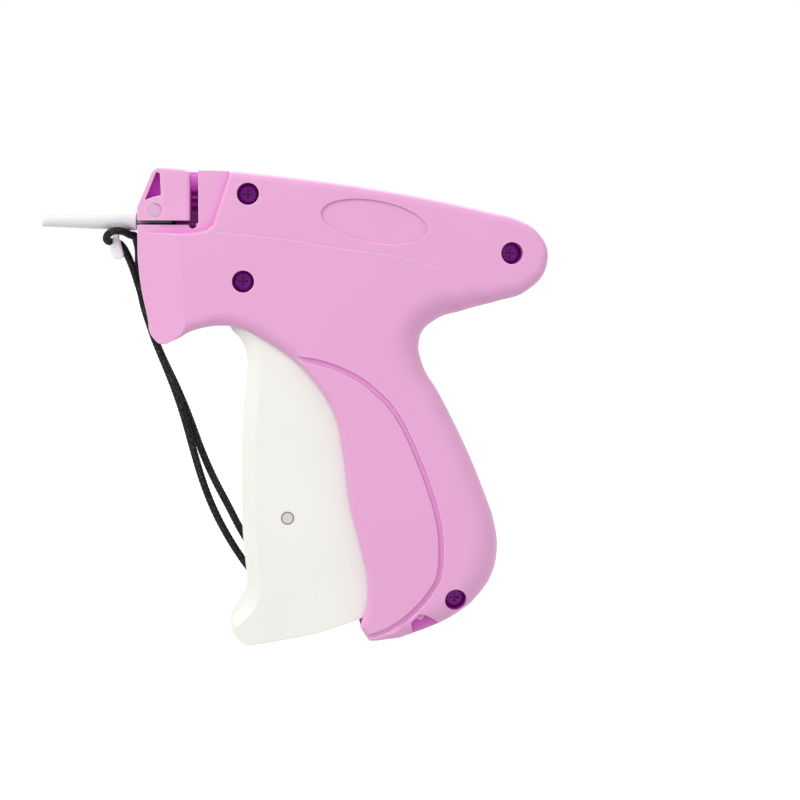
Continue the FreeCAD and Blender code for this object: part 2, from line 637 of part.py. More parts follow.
def track(path, r):
    """A slot of half width r along a path of points."""
    parts = []
    for p, q in zip(path, path[1:]):
        u = unit((q[0] - p[0], q[1] - p[1]))
        n = (-u[1] * r, u[0] * r)
        parts.append(prism([(p[0] + n[0], p[1] + n[1]), (q[0] + n[0], q[1] + n[1]),
                            (q[0] - n[0], q[1] - n[1]),
                            (p[0] - n[0], p[1] - n[1])], -9.0, 9.0))
    parts += [rod_y(p, r, -9.0, 9.0) for p in path]
    return union(parts)


def lever_head():
    a = math.radians(0.5 * LEVER_SWING)
    return (FULCRUM[0] + LEVER_LEN * math.sin(a), FULCRUM[1] + LEVER_LEN * math.cos(a))


def tapered_bar(p, rp, q, rq, t):
    """A flat bar between two round ends of different radius."""
    u = unit((q[0] - p[0], q[1] - p[1]))
    n = (-u[1], u[0])
    web = prism([(p[0] + n[0] * rp, p[1] + n[1] * rp), (q[0] + n[0] * rq, q[1] + n[1] * rq),
                 (q[0] - n[0] * rq, q[1] - n[1] * rq), (p[0] - n[0] * rp, p[1] - n[1] * rp)], -t, t)
    return union([web, rod_y(p, rp, -t, t), rod_y(q, rq, -t, t)])


def drive_lever():
    """A first-order lever on the fulcrum pin, with a cam slot for the trigger's pin."""
    path = cam_path()
    body = union([tapered_bar(FULCRUM, 5.0, lever_head(), 2.2, LEVER_T),
                  tapered_bar(FULCRUM, 5.0, path[0], 3.0, LEVER_T)])
    body = body.cut(track(path, PIN_R + SLACK))
    body = body.cut(rod_y(FULCRUM, PIN_R + FIT, -9.0, 9.0))
    return body.cut(rod_y(lever_head(), 1.2, -9.0, 9.0))


def lever_head_pin():
    return rod_y(lever_head(), 1.2, -5.4, 5.4)


def lever_fulcrum_pin():
    return rod_y(FULCRUM, PIN_R, -5.4, 5.4)


def lever_bracket():
    """A steel channel, held by posts of both halves, whose cheeks reach in between the trigger's walls."""
    cheeks = []
    for y in (-5.4, 4.2):
        cheeks.append(box(-10.5, 12.4, y, y + 1.2, 1.2, 7.8).fuse(rod_y(FULCRUM, 3.3, y, y + 1.2)))
    web = box(12.4, 13.6, -5.4, 5.4, 1.2, 7.8)
    return union(cheeks + [web]).cut(rod_y(FULCRUM, PIN_R, -9.0, 9.0))


def plunger_slide():
    """A block, open at the back, with a wing on each side and a slot in each cheek for the head pin."""
    z0, z1 = SLIDE_Z
    block = box(2.6, 15.2, -5.8, 5.8, z0, z1)
    block = block.cut(box(6.2, 16.0, -3.1, 3.1, z0 - 1, z1 + 1))
    wing = box(3.4, 14.4, -8.6, 8.6, WING_Z[0], WING_Z[1]).cut(box(3.0, 16.0, -5.0, 5.0, z0, z1))
    block = block.fuse(wing)
    slot = box(SLIDE_X - 1.2 - SLACK, SLIDE_X + 1.2 + SLACK, -5.9, 5.9, z0 - 1, 70.2)
    block = block.cut(slot)
    return block.cut(rod_x(0, AXIS_Z, ROD_R, 2.0, 6.2))


def ejector_rod():
    return rod_x(0, AXIS_Z, ROD_R, ROD_TIP, 6.2)


def return_spring():
    """A coil spring as a sleeve of its outer size, round the two seats."""
    length = SPRING_REAR - SPRING_FRONT
    sleeve = rod_x(0, SPRING_Z, SPRING_R + SPRING_WIRE, SPRING_FRONT, SPRING_REAR)
    return sleeve.cut(rod_x(0, SPRING_Z, SPRING_R - SPRING_WIRE, SPRING_FRONT - 1, SPRING_REAR + 1))


# ---------------------------------------------------------------- feed

def toothed(radius, root, teeth, x0, x1, saw):
    """A toothed wheel about the feed shaft, with pointed or saw teeth."""
    pts = []
    for i in range(teeth):
        a = 2 * math.pi * i / teeth
        step = 2 * math.pi / teeth
        if saw:
            pts += [(radius, a), (root, a + 0.06 * step), (root + 0.5 * (radius - root), a + 0.6 * step)]
        else:
            pts += [(root, a), (radius, a + 0.32 * step), (radius, a + 0.62 * step), (root, a + 0.94 * step)]
    poly = [V(x0, FEED_Y + r * math.cos(a), FEED_Z + r * math.sin(a)) for r, a in pts]
    wheel = Part.Face(Part.makePolygon(poly + poly[:1])).extrude(V(x1 - x0, 0, 0))
    return wheel.cut(rod_x(FEED_Y, FEED_Z, SHAFT_R, x0 - 1, x1 + 1))


def feed_wheel():
    return toothed(WHEEL_R, 3.2, 12, -56.3, -52.7, False)


def feed_ratchet():
    return toothed(4.0, 3.1, 12, -47.2, -46.0, True)


def feed_shaft():
    return rod_x(FEED_Y, FEED_Z, SHAFT_R, BLOCK_X[0] + 0.1, -44.3)


def feed_arm():
    """A ring on the shaft with an arm whose end reaches over the ratchet as a pawl."""
    ring = rod_x(FEED_Y, FEED_Z, 2.8, -45.7, -44.5)
    arm = box(-45.7, -44.5, FEED_Y - 0.9, FEED_Y + 0.9, FEED_Z + 1.8, FEED_Z + 5.4)
    pawl = box(-47.2, -44.5, FEED_Y - 0.9, FEED_Y + 0.9, FEED_Z + 4.3, FEED_Z + 5.4)
    body = union([ring, arm, pawl]).cut(rod_x(FEED_Y, FEED_Z, SHAFT_R + FIT, -50.0, -40.0))
    body.rotate(V(0, FEED_Y, FEED_Z), V(1, 0, 0), 14.0)
    return body


def pawl_spring():
    leaf = box(-45.6, -44.6, FEED_Y + 0.9, FEED_Y + 1.2, FEED_Z + 2.9, FEED_Z + 5.3)
    leaf.rotate(V(0, FEED_Y, FEED_Z), V(1, 0, 0), 14.0)
    return leaf


# ---------------------------------------------------------------- needle lock and clip release

def needle_lock_lever():
    hub = rod_y(LOCK, 3.6, HALF_W + 0.3, HALF_W + 2.6)
    grip = prism([(LOCK[0] - 3.2, LOCK[1] - 1.0), (LOCK[0] + 3.4, LOCK[1] - 1.0),
                  (LOCK[0] + 5.6, LOCK[1] - 14.0),
                  (LOCK[0] + 1.0, LOCK[1] - 15.0)], HALF_W + 0.3, HALF_W + 2.6)
    return hub.fuse(grip).cut(rod_y(LOCK, LOCK_R, 0.0, 30.0))


def needle_lock_pin():
    pin = rod_y(LOCK, LOCK_R, -11.6, HALF_W + 2.0)
    flat = box(LOCK[0] - 3.0, LOCK[0] - 0.5, -2.8, 2.8, LOCK[1] - 3.0, LOCK[1] + 3.0)
    return pin.cut(flat)


def clip_release_button():
    cap = rod_y(RELEASE, 3.0, HALF_W + 0.2, HALF_W + 2.0)
    cap = cap.makeFillet(0.5, outer_edges(cap, HALF_W + 2.0))
    stem = rod_y(RELEASE, 1.2, 8.5, HALF_W + 1.0)
    foot = rod_y(RELEASE, 2.1, 7.9, 9.0)
    return union([cap, stem, foot])


def release_spring():
    coil = rod_y(RELEASE, 2.6, RELEASE_FLOOR, HALF_W + 0.2)
    return coil.cut(rod_y(RELEASE, 1.6, 4.0, 20.0))


# ---------------------------------------------------------------- needle cap and tether

def cone(base, tip, less):
    a = Part.makeCircle(base[2] - less, V(base[0], 0, base[1]), V(1, 0, 0))
    b = Part.makeCircle(tip[2] - less, V(tip[0], 0, tip[1]), V(1, 0, 0))
    return Part.makeLoft([Part.Wire([a]), Part.Wire([b])], True, True)


def needle_cap():
    """A tapered tube, closed at its tip, with a tab whose neck holds the tether's loop."""
    skin = cone(CAP_BASE, CAP_TIP, 0.0)
    bore = cone((CAP_BASE[0] + 1.0, CAP_BASE[1], CAP_BASE[2]), (CAP_TIP[0] + 1.0, CAP_TIP[1], CAP_TIP[2]),
                CAP_WALL)
    tab = prism([(-78.1, 68.6), (-78.1, 63.7), (-78.9, 63.0), (-78.8, 61.6), (-78.3, 59.9), (-77.5, 59.2),
                 (-76.1, 59.1), (-75.2, 59.7), (-75.1, 60.6), (-76.3, 64.8), (-76.4, 68.6)], -1.6, 1.6)
    tab = tab.makeFillet(0.6, [e for e in tab.Edges if e.BoundBox.YLength < 0.1 and e.BoundBox.ZMin > 59.8])
    return skin.fuse(tab).cut(bore)


def tether_bar():
    return rod_x(BAR_Y, BAR_Z, 1.0, 4.6, 15.0)


def cord_route():
    """The tether's loop: from behind the bar, under it, forward past grip, trigger and nose, once round
    the neck of the cap's tab and back the same way to the bar's top."""
    outward = [(9.8, 6.6, -43.1), (9.5, 7.0, -44.9), (9.0, 9.2, -45.8), (8.0, 12.3, -45.4),
               (5.0, 14.6, -44.3), (0.0, 15.0, -43.7), (-7.0, 14.9, -43.9), (-14.5, 13.6, -44.2),
               (-22.0, 12.1, -43.2), (-29.2, 11.4, -40.6), (-35.5, 11.2, -36.0), (-40.7, 11.3, -29.8),
               (-45.7, 11.5, -22.2), (-50.1, 11.7, -13.8), (-53.4, 11.8, -5.2), (-56.0, 11.8, 3.8),
               (-58.4, 11.8, 12.8), (-61.3, 11.8, 21.6), (-64.6, 11.9, 29.8), (-67.7, 12.0, 37.2),
               (-69.7, 12.0, 44.5), (-71.7, 12.0, 51.6), (-73.2, 10.9, 56.6), (-74.7, 8.2, 60.6),
               (-76.0, 4.9, 63.2)]
    around = [(-77.6, 3.7, 64.1), (-79.3, 2.6, 64.0), (-80.0, -1.2, 64.6), (-79.4, -3.9, 66.1),
              (-77.4, -5.3, 67.3), (-74.6, -4.3, 66.9), (-73.1, 0.2, 65.8), (-72.4, 4.9, 66.0),
              (-72.3, 9.0, 65.2)]
    back = [(-71.6, 12.7, 61.8), (-71.9, 14.2, 55.6), (-70.9, 14.4, 47.0), (-68.2, 14.4, 38.4),
            (-64.7, 14.3, 30.0), (-60.6, 14.2, 21.6), (-56.9, 14.1, 12.6), (-53.7, 13.8, 3.4),
            (-49.9, 13.4, -5.2), (-45.8, 13.0, -12.8), (-42.2, 12.8, -20.0), (-37.6, 12.9, -27.4),
            (-32.0, 13.5, -34.0), (-25.0, 14.2, -38.8), (-17.0, 15.0, -41.2), (-9.0, 15.2, -41.0),
            (-2.0, 15.2, -41.4), (4.0, 15.3, -41.1), (9.0, 14.9, -41.3), (11.7, 12.6, -40.8),
            (11.0, 9.6, -40.1), (10.3, 7.1, -40.9), (9.8, 6.6, -42.9)]
    return [V(*p) for p in outward + around + back]


def cord(points, d):
    """A round cord of diameter d: straight runs joined by tangent arcs as large as the runs allow."""
    at_start = points[0]
    edges = []
    radii = []
    for p, q, r in zip(points, points[1:], points[2:]):
        u, w = (p - q), (r - q)
        run = min(u.Length, w.Length)
        u.normalize()
        w.normalize()
        half = 0.5 * (math.pi - u.getAngle(w))
        cut = 0.45 * run
        radii.append(cut / math.tan(half))
        a, b = q + u * cut, q + w * cut
        mid = u + w
        mid.normalize()
        reach = math.hypot(radii[-1], cut)
        centre = q + mid * reach
        m = centre - mid * radii[-1]
        edges.append(Part.LineSegment(at_start, a).toShape())
        edges.append(Part.Arc(a, m, b).toShape())
        at_start = b
    edges.append(Part.LineSegment(at_start, points[-1]).toShape())
    path = Part.Wire(edges)
    ring = Part.Wire([Part.makeCircle(0.5 * d, points[0], points[1] - points[0])])
    tube = path.makePipeShell([ring], True, True)
    print("cord length", round(path.Length, 1), "radii", [round(r, 1) for r in radii])
    print("cord volume over section times length",
          round(tube.Volume / (math.pi * d * d / 4 * path.Length), 4))
    return tube


def tether_cord():
    return cord(cord_route(), CORD_D)


def main():
    half = shell_half()
    print("half", half.isValid(), len(half.Solids), round(half.Volume, 1))
    save(left_shell(half), "left_shell")
    save(right_shell(half), "right_shell")
    save(nose_block(), "nose_block")
    save(case_screws(), "case_screws")
    save(needle(), "needle")
    save(needle_hub(), "needle_hub")
    save(clip_channel(), "clip_channel")
    save(needle_seat(), "needle_seat")
    save(knife(), "knife")
    save(trigger(), "trigger")
    save(trigger_pin(), "trigger_pin")
    save(drive_lever(), "drive_lever")
    save(lever_head_pin(), "lever_head_pin")
    save(lever_fulcrum_pin(), "lever_fulcrum_pin")
    save(lever_bracket(), "lever_bracket")
    save(plunger_slide(), "plunger_slide")
    save(ejector_rod(), "ejector_rod")
    save(return_spring(), "return_spring")
    save(feed_wheel(), "feed_wheel")
    save(feed_ratchet(), "feed_ratchet")
    save(feed_shaft(), "feed_shaft")
    save(feed_arm(), "feed_arm")
    save(pawl_spring(), "pawl_spring")
    save(needle_lock_lever(), "needle_lock_lever")
    save(needle_lock_pin(), "needle_lock_pin")
    save(clip_release_button(), "clip_release_button")
    save(release_spring(), "release_spring")
    save(needle_cap(), "needle_cap")
    save(tether_bar(), "tether_bar")
    save(tether_cord(), "tether_cord")


if __name__ == "__main__":
    main()
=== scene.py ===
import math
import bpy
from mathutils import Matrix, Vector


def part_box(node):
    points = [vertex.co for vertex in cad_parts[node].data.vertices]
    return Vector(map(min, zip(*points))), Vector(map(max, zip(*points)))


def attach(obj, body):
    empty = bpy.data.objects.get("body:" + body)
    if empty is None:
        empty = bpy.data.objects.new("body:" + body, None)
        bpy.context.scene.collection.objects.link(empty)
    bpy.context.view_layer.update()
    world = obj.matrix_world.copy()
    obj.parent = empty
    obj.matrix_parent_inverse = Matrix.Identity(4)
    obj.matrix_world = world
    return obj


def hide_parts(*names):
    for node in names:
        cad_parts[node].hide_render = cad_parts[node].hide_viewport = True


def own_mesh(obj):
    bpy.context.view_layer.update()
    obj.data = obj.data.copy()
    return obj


bl_info = {
    "name": "Garment tag attacher",
    "version": (1, 0, 0),
    "blender": (4, 5, 0),
    "location": "View3D > Sidebar > Tag attacher",
    "description": "Dresses a garment tag attacher: casing, trigger, needle cap, braided tether and springs",
    "category": "Object",
}

import bpy
import numpy as np
from bpy.props import FloatProperty, FloatVectorProperty, IntProperty, PointerProperty
from mathutils import Vector

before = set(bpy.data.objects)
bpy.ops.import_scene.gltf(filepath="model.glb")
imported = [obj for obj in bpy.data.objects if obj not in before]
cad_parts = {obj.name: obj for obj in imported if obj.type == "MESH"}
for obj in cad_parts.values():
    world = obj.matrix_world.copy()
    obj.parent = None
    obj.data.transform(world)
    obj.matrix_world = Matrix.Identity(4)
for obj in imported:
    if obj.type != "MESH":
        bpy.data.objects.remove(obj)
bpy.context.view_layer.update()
MM = 0.001

# ---------------------------------------------------------------- fixed sizes, lengths in metres

# Moulded plastics
PLASTIC_IOR = 1.5
CLOUD_SIZE = 28.0 * MM                # clouds of flow in the colour
CLOUD = 0.04                          # how much they change it, up or down
GRAIN_STRENGTH = 0.35                 # of the mould's grain as relief
GRAIN_GLOSS = 0.05                    # how much the grain changes the roughness, up or down
EDGE_STARTS = 0.985                   # cosine of rounded to real normal at which an edge starts to be painted paler
MOULD_EDGE_FULL, MOULD_EDGE_MOST = 0.88, 0.9   # cosine at which it is full, and how far it then goes
SHELTER = 1.2 * MM                    # a wall within this keeps an edge from its painted highlight
SHELTERED, OPEN = 0.6, 0.85           # share of open sky at which it does so wholly and no longer
PALER = 0.7                           # how far an edge's painted highlight goes towards white
RECESS = 6.0 * MM                     # how far walls are looked for to tell a recess
SIDE_FACE = 11.9 * MM                 # |Y| of the casing's side faces
WELL_INSIDE = 8.5 * MM                # |Y| from which a recess takes its painted shade throughout
SHADE_FULL = 0.2                       # share of open sky at which a recess has its whole painted shade
SHADE_STARTS = (0.74, 1.0)             # share at which it has none, at the side faces and well inside
SHADE_MOST = (0.45, 1.0)               # how far the painted shade goes, at the side faces and well inside
WITNESS_RADIUS = 1.66 * MM            # the line that an insert leaves round the trigger's pin
WITNESS_LINE = (0.13 * MM, 0.3 * MM)  # half widths at which it is full and gone
WITNESS_MOST = 0.9                    # how far its colour goes
WITNESS_COLOUR = "#7A6A6C"

# Metals
STRETCH = 0.05                        # a line's width over its length
LINE_SHADE = 0.85                     # brightness of the darkest line
LINE_GLOSS = (-0.08, 0.12)            # how much the lines change the roughness
SCRATCH_DEPTH = 0.02 * MM             # how deep the lines are

# Lacquered screw heads
HEAD_EDGE = 0.22 * MM                 # radius that the heads' edges catch the light with
HEAD_EDGE_FULL = 0.86                 # cosine at which such an edge is fully pale
SPECK = 0.6 * MM                      # size of the pale specks along the heads' edges

# Springs
CLOSING = 0.85                        # how nearly the end turns close up, where 1 is wholly

# Tether
PATH_STEP = 0.2 * MM                  # between the braid's rings of points
BRAID_COLUMNS = 30                    # points in a ring
UNDER = 0.45                          # a strand's height where it passes under another, as a share of its crown
CROWN_FROM = 0.375                    # height from which a strand counts as crown
FIBRE = 0.5 * MM                      # a yarn's fibre, as coarse as it needs to show
FIBRE_DEPTH = 0.08 * MM               # how far it stands out
FLECK_FROM, FLECK_FULL = 0.52, 0.72   # values of the fibres' noise
GAP_PAINTED_SHADE = 0.35                      # brightness of the painted shade in the gaps between strands

# Stage
AIM = (-0.03, 0.0, 0.02)              # the point that every lamp faces
LAMPS = (("soft_key", (-0.53, -0.62, 0.62), "key", 0.6),    # name, place, power setting, side of its square
         ("soft_side", (0.72, -0.52, 0.37), "side", 0.8),
         ("soft_top", (0.12, 0.48, 0.87), "top", 0.6))
SENSOR, LENS = 36.0, 91.7             # millimetres, as Blender's cameras take them
EYE = (-35.84 * MM, 61.6 * MM)        # the camera's X and Z
SHIFT = (0.0859, -0.0937)             # of the picture, in sensor widths
YAW, PITCH = -1.94, -2.1              # degrees
WHITE = (1.0, 1.0, 1.0, 1.0)
PAPER = (0.6, 0.6, 0.6, 1.0)          # its own colour, which its lift makes white
PAPER_HALF = 12.0                     # half the paper's side
PAPER_NEAR, PAPER_FAR = 0.3, 1.2      # distances between which the paper's lift grows
FAR_LIFT = 0.85                       # and what it grows to


def linear(code):
    """An sRGB hex colour as linear red, green, blue and full alpha."""
    parts = np.array([int(code[i:i + 2], 16) for i in (1, 3, 5)]) / 255.0
    lin = np.where(parts <= 0.04045, parts / 12.92, ((parts + 0.055) / 1.055) ** 2.4)
    return (*lin.tolist(), 1.0)


# ---------------------------------------------------------------- settings

def colour_prop(name, description, code):
    """A colour that the user can change, with its default as an sRGB hex value."""
    return FloatVectorProperty(name=name, description=description, subtype="COLOR", size=4, min=0.0, max=1.0,
                               default=linear(code))


def length_prop(name, description, metres):
    """A length that the user can change."""
    return FloatProperty(name=name, description=description, default=metres, min=0.0, unit="LENGTH", precision=5)


def plain_prop(name, description, value, lowest=0.0, unit="NONE"):
    """A plain number that the user can change."""
    return FloatProperty(name=name, description=description, default=value, min=lowest, unit=unit)


class TagAttacherCasing(bpy.types.PropertyGroup):
    """Colours, grain and edges of the moulded pieces"""
    shell: colour_prop("Casing", "Colour of the casing halves, nose block and clip channel", "#EBAAD7")
    # Painted shade: the colour that the casing's recesses are painted towards
    deep: colour_prop("Casing, deep", "Colour that light takes on in the casing's narrow recesses", "#E428DC")
    pin: colour_prop("Lock pin", "Colour of the needle lock's pin", "#DDB0D2")
    trigger: colour_prop("Trigger", "Colour of the trigger and release button", "#F7F7F0")
    inner: colour_prop("Inner works", "Colour of the lever, slide, hub and ratchet", "#E6E4DA")
    cap: colour_prop("Needle cap", "Colour of the needle cap", "#F6FAFA")
    grain: length_prop("Moulding grain", "Size of the spark-eroded grain of the mould", 0.35 * MM)
    edge: length_prop("Edge radius", "Radius that the mould's sharp edges catch the light with", 0.42 * MM)


class TagAttacherTether(bpy.types.PropertyGroup):
    """Size, braid and colours of the tether"""
    diameter: length_prop("Diameter", "Outer diameter of the braided cord", 2.2 * MM)
    pitch: length_prop("Braid pitch", "Length in which a strand goes once round the cord", 6.0 * MM)
    strands: IntProperty(name="Strands each way", description="Strands of the braid that turn each way", default=5,
                         min=2, max=12)
    relief: length_prop("Relief", "Height of a strand over the gaps between strands", 0.26 * MM)
    colour: colour_prop("Cord", "Colour of the polyester yarn", "#0E0E10")
    fleck: colour_prop("Flecks", "Colour of the worn fibres that catch the light", "#59645F")


class TagAttacherSprings(bpy.types.PropertyGroup):
    """Turns and wire of the two springs"""
    return_turns: plain_prop("Return spring turns", "Working turns of the return spring", 13.0, lowest=2.0)
    return_wire: length_prop("Return spring wire", "Wire diameter of the return spring", 0.7 * MM)
    release_turns: plain_prop("Release spring turns", "Turns of the clip release spring", 3.0, lowest=1.0)
    release_wire: length_prop("Release spring wire", "Wire diameter of the clip release spring", 0.3 * MM)


class TagAttacherStage(bpy.types.PropertyGroup):
    """Camera, floor and lamps"""
    distance: length_prop("Camera distance", "Camera's distance from the parting plane", 0.58)
    floor: length_prop("Floor depth", "Depth of the floor under the frame's origin", 0.16)
    key: plain_prop("Key lamp", "Power of the large soft lamp", 5.3, unit="POWER")
    side: plain_prop("Side lamp", "Power of the weaker lamp at the other side", 1.45, unit="POWER")
    top: plain_prop("Top lamp", "Power of the lamp above and behind", 3.6, unit="POWER")
    fill: plain_prop("Fill light", "Strength of the even light from all round", 0.54)
    lift: plain_prop("Paper lift", "Light that the paper adds where it is looked at", 0.5)


def settings(name):
    """One of the scene's groups of settings."""
    return getattr(bpy.context.scene, "tag_attacher_" + name)


# ---------------------------------------------------------------- materials

def new_material(name):
    """A material with an empty node tree."""
    material = bpy.data.materials.new(name)
    material.use_nodes = True
    material.node_tree.nodes.clear()
    return material, material.node_tree


def node(tree, kind, inputs=None, **values):
    """Adds a node. values are its own settings; inputs are its sockets' values or the sockets linked to them."""
    made = tree.nodes.new(kind)
    for key, value in values.items():
        setattr(made, key, value)
    for key, value in (inputs or {}).items():
        if isinstance(value, bpy.types.NodeSocket):
            tree.links.new(value, made.inputs[key])
        else:
            made.inputs[key].default_value = value
    return made


def seen_directly(tree):
    """1 where a surface is looked at straight, in a reflection or through something clear, else 0."""
    rays = node(tree, "ShaderNodeLightPath")
    seen = node(tree, "ShaderNodeMath", {0: rays.outputs["Is Camera Ray"], 1: rays.outputs["Is Glossy Ray"]},
                operation="MAXIMUM")
    seen = node(tree, "ShaderNodeMath", {0: seen.outputs[0], 1: rays.outputs["Is Transmission Ray"]},
                operation="MAXIMUM")
    return seen.outputs[0]


def scaled(colour, k):
    """A colour k times as bright."""
    return (colour[0] * k, colour[1] * k, colour[2] * k, 1.0)


def edges_of(tree, round_edge, full, most=1.0):
    """0 on plain faces and up to most on edges, where the rounded normal leaves the real one; full is the cosine
    between the two at which it gets there."""
    real = node(tree, "ShaderNodeNewGeometry").outputs["Normal"]
    leave = node(tree, "ShaderNodeVectorMath", {0: round_edge.outputs["Normal"], 1: real},
                 operation="DOT_PRODUCT")
    edges = node(tree, "ShaderNodeMapRange", {"Value": leave.outputs["Value"], "From Min": EDGE_STARTS,
                                              "From Max": full, "To Min": 0.0, "To Max": most})
    return edges.outputs["Result"]


def edge_highlighted(tree, base, colour, round_edge):
    """The base colour with outer edges painted paler, a painted highlight along them. Where a wall stands close
    by, an edge keeps its colour."""
    near = node(tree, "ShaderNodeAmbientOcclusion", {"Distance": SHELTER}, samples=6)
    free = node(tree, "ShaderNodeMapRange", {"Value": near.outputs["AO"], "From Min": SHELTERED,
                                             "From Max": OPEN})
    pale_edge = node(tree, "ShaderNodeMath", {0: edges_of(tree, round_edge, MOULD_EDGE_FULL, MOULD_EDGE_MOST),
                                         1: free.outputs["Result"]}, operation="MULTIPLY")
    pale = tuple((1.0 - PALER) * c + PALER for c in colour[:3]) + (1.0,)
    return node(tree, "ShaderNodeMix", {"Factor": pale_edge.outputs[0], "A": base, "B": pale},
                data_type="RGBA").outputs["Result"]


def shade_in_recesses(tree, base, place, deep):
    """The base colour with painted shade in its recesses: taken towards the recess shade colour the more walls
    stand round a point, and from the casing's side faces inwards sooner and further."""
    shut = node(tree, "ShaderNodeAmbientOcclusion", {"Distance": RECESS}, samples=8)
    across = node(tree, "ShaderNodeSeparateXYZ", {"Vector": place}).outputs["Y"]
    across = node(tree, "ShaderNodeMath", {0: across}, operation="ABSOLUTE").outputs[0]
    inwards = {"Value": across, "From Min": SIDE_FACE, "From Max": WELL_INSIDE}
    limit = node(tree, "ShaderNodeMapRange", {**inwards, "To Min": SHADE_STARTS[0], "To Max": SHADE_STARTS[1]})
    share = node(tree, "ShaderNodeMapRange", {**inwards, "To Min": SHADE_MOST[0], "To Max": SHADE_MOST[1]})
    ramp = node(tree, "ShaderNodeMapRange", {"Value": shut.outputs["AO"], "From Min": SHADE_FULL,
                                             "From Max": limit.outputs["Result"], "To Min": 1.0, "To Max": 0.0})
    ramp = node(tree, "ShaderNodeMath", {0: ramp.outputs["Result"], 1: share.outputs["Result"]},
                operation="MULTIPLY")
    return node(tree, "ShaderNodeMix", {"Factor": ramp.outputs[0], "A": base, "B": tuple(deep)},
                data_type="RGBA").outputs["Result"]


def witnessed(tree, base, place, mark):
    """The base colour with the thin round line that an insert leaves; mark is its centre X, centre Z and
    radius."""
    flat = node(tree, "ShaderNodeVectorMath", {0: place, 1: (1.0, 0.0, 1.0)}, operation="MULTIPLY")
    away = node(tree, "ShaderNodeVectorMath", {0: flat.outputs["Vector"], 1: (mark[0], 0.0, mark[1])},
                operation="DISTANCE")
    off = node(tree, "ShaderNodeMath", {0: away.outputs["Value"], 1: mark[2]}, operation="SUBTRACT")
    off = node(tree, "ShaderNodeMath", {0: off.outputs[0]}, operation="ABSOLUTE")
    ring = node(tree, "ShaderNodeMapRange", {"Value": off.outputs[0], "From Min": WITNESS_LINE[0],
                                             "From Max": WITNESS_LINE[1], "To Min": WITNESS_MOST, "To Max": 0.0})
    return node(tree, "ShaderNodeMix", {"Factor": ring.outputs["Result"], "A": base, "B": linear(WITNESS_COLOUR)},
                data_type="RGBA").outputs["Result"]


def moulded(name, colour, roughness, grain, grain_depth, edge, cloud=CLOUD, deep=None, subsurface=0.0,
            depths=(1.0, 0.8, 0.8), reach=1.5 * MM, mark=None):
    """A thermoplastic from an eroded mould: a fine even grain that softens the gloss, faint clouds of flow in the
    colour, and outer edges painted paler as a painted highlight. Narrow recesses get painted shade towards the
    recess shade colour, if one is given, and an insert's mark is drawn, if one is given. Light travels reach times
    depths, red, green and blue, under the surface."""
    material, tree = new_material(name)
    place = node(tree, "ShaderNodeTexCoord").outputs["Object"]
    clouds = node(tree, "ShaderNodeTexNoise", {"Vector": place, "Scale": 1.0 / CLOUD_SIZE, "Detail": 3.0})
    tint = node(tree, "ShaderNodeMix", {"Factor": clouds.outputs["Fac"], "A": scaled(colour, 1.0 - cloud),
                                        "B": scaled(colour, 1.0 + cloud)}, data_type="RGBA")
    round_edge = node(tree, "ShaderNodeBevel", {"Radius": edge}, samples=6)
    # Painted highlight: outer edges made paler
    base = edge_highlighted(tree, tint.outputs["Result"], colour, round_edge)
    # Painted shade: recesses taken towards the recess shade colour, the more closed in the darker
    if deep is not None:
        base = shade_in_recesses(tree, base, place, deep)
    if mark is not None:
        base = witnessed(tree, base, place, mark)
    fine = node(tree, "ShaderNodeTexNoise", {"Vector": place, "Scale": 1.0 / grain, "Detail": 2.0})
    bump = node(tree, "ShaderNodeBump", {"Height": fine.outputs["Fac"], "Strength": GRAIN_STRENGTH,
                                         "Distance": grain_depth, "Normal": round_edge.outputs["Normal"]})
    rough = node(tree, "ShaderNodeMapRange", {"Value": fine.outputs["Fac"], "To Min": roughness - GRAIN_GLOSS,
                                              "To Max": roughness + GRAIN_GLOSS})
    shader = node(tree, "ShaderNodeBsdfPrincipled", {
        "Base Color": base, "Roughness": rough.outputs["Result"], "IOR": PLASTIC_IOR,
        "Normal": bump.outputs["Normal"], "Subsurface Weight": subsurface, "Subsurface Radius": depths,
        "Subsurface Scale": reach})
    node(tree, "ShaderNodeOutputMaterial", {"Surface": shader.outputs["BSDF"]})
    return material


def metal(name, code, roughness, streak, along, scratch=0.12):
    """A metal whose surface carries fine lines from its making: drawn, turned or ground. The lines are noise
    stretched along one axis; streak is their width and scratch how strongly they show."""
    material, tree = new_material(name)
    place = node(tree, "ShaderNodeTexCoord").outputs["Object"]
    stretch = tuple(STRETCH if axis == along else 1.0 for axis in "XYZ")
    mapping = node(tree, "ShaderNodeMapping", {"Vector": place, "Scale": stretch})
    lines = node(tree, "ShaderNodeTexNoise", {"Vector": mapping.outputs["Vector"], "Scale": 1.0 / streak,
                                              "Detail": 3.0})
    rough = node(tree, "ShaderNodeMapRange", {"Value": lines.outputs["Fac"], "To Min": roughness + LINE_GLOSS[0],
                                              "To Max": roughness + LINE_GLOSS[1]})
    tint = node(tree, "ShaderNodeMix", {"Factor": lines.outputs["Fac"], "A": scaled(linear(code), LINE_SHADE),
                                        "B": linear(code)}, data_type="RGBA")
    bump = node(tree, "ShaderNodeBump", {"Height": lines.outputs["Fac"], "Strength": scratch,
                                         "Distance": SCRATCH_DEPTH})
    shader = node(tree, "ShaderNodeBsdfPrincipled", {
        "Base Color": tint.outputs["Result"], "Metallic": 1.0, "Roughness": rough.outputs["Result"],
        "Normal": bump.outputs["Normal"]})
    node(tree, "ShaderNodeOutputMaterial", {"Surface": shader.outputs["BSDF"]})
    return material


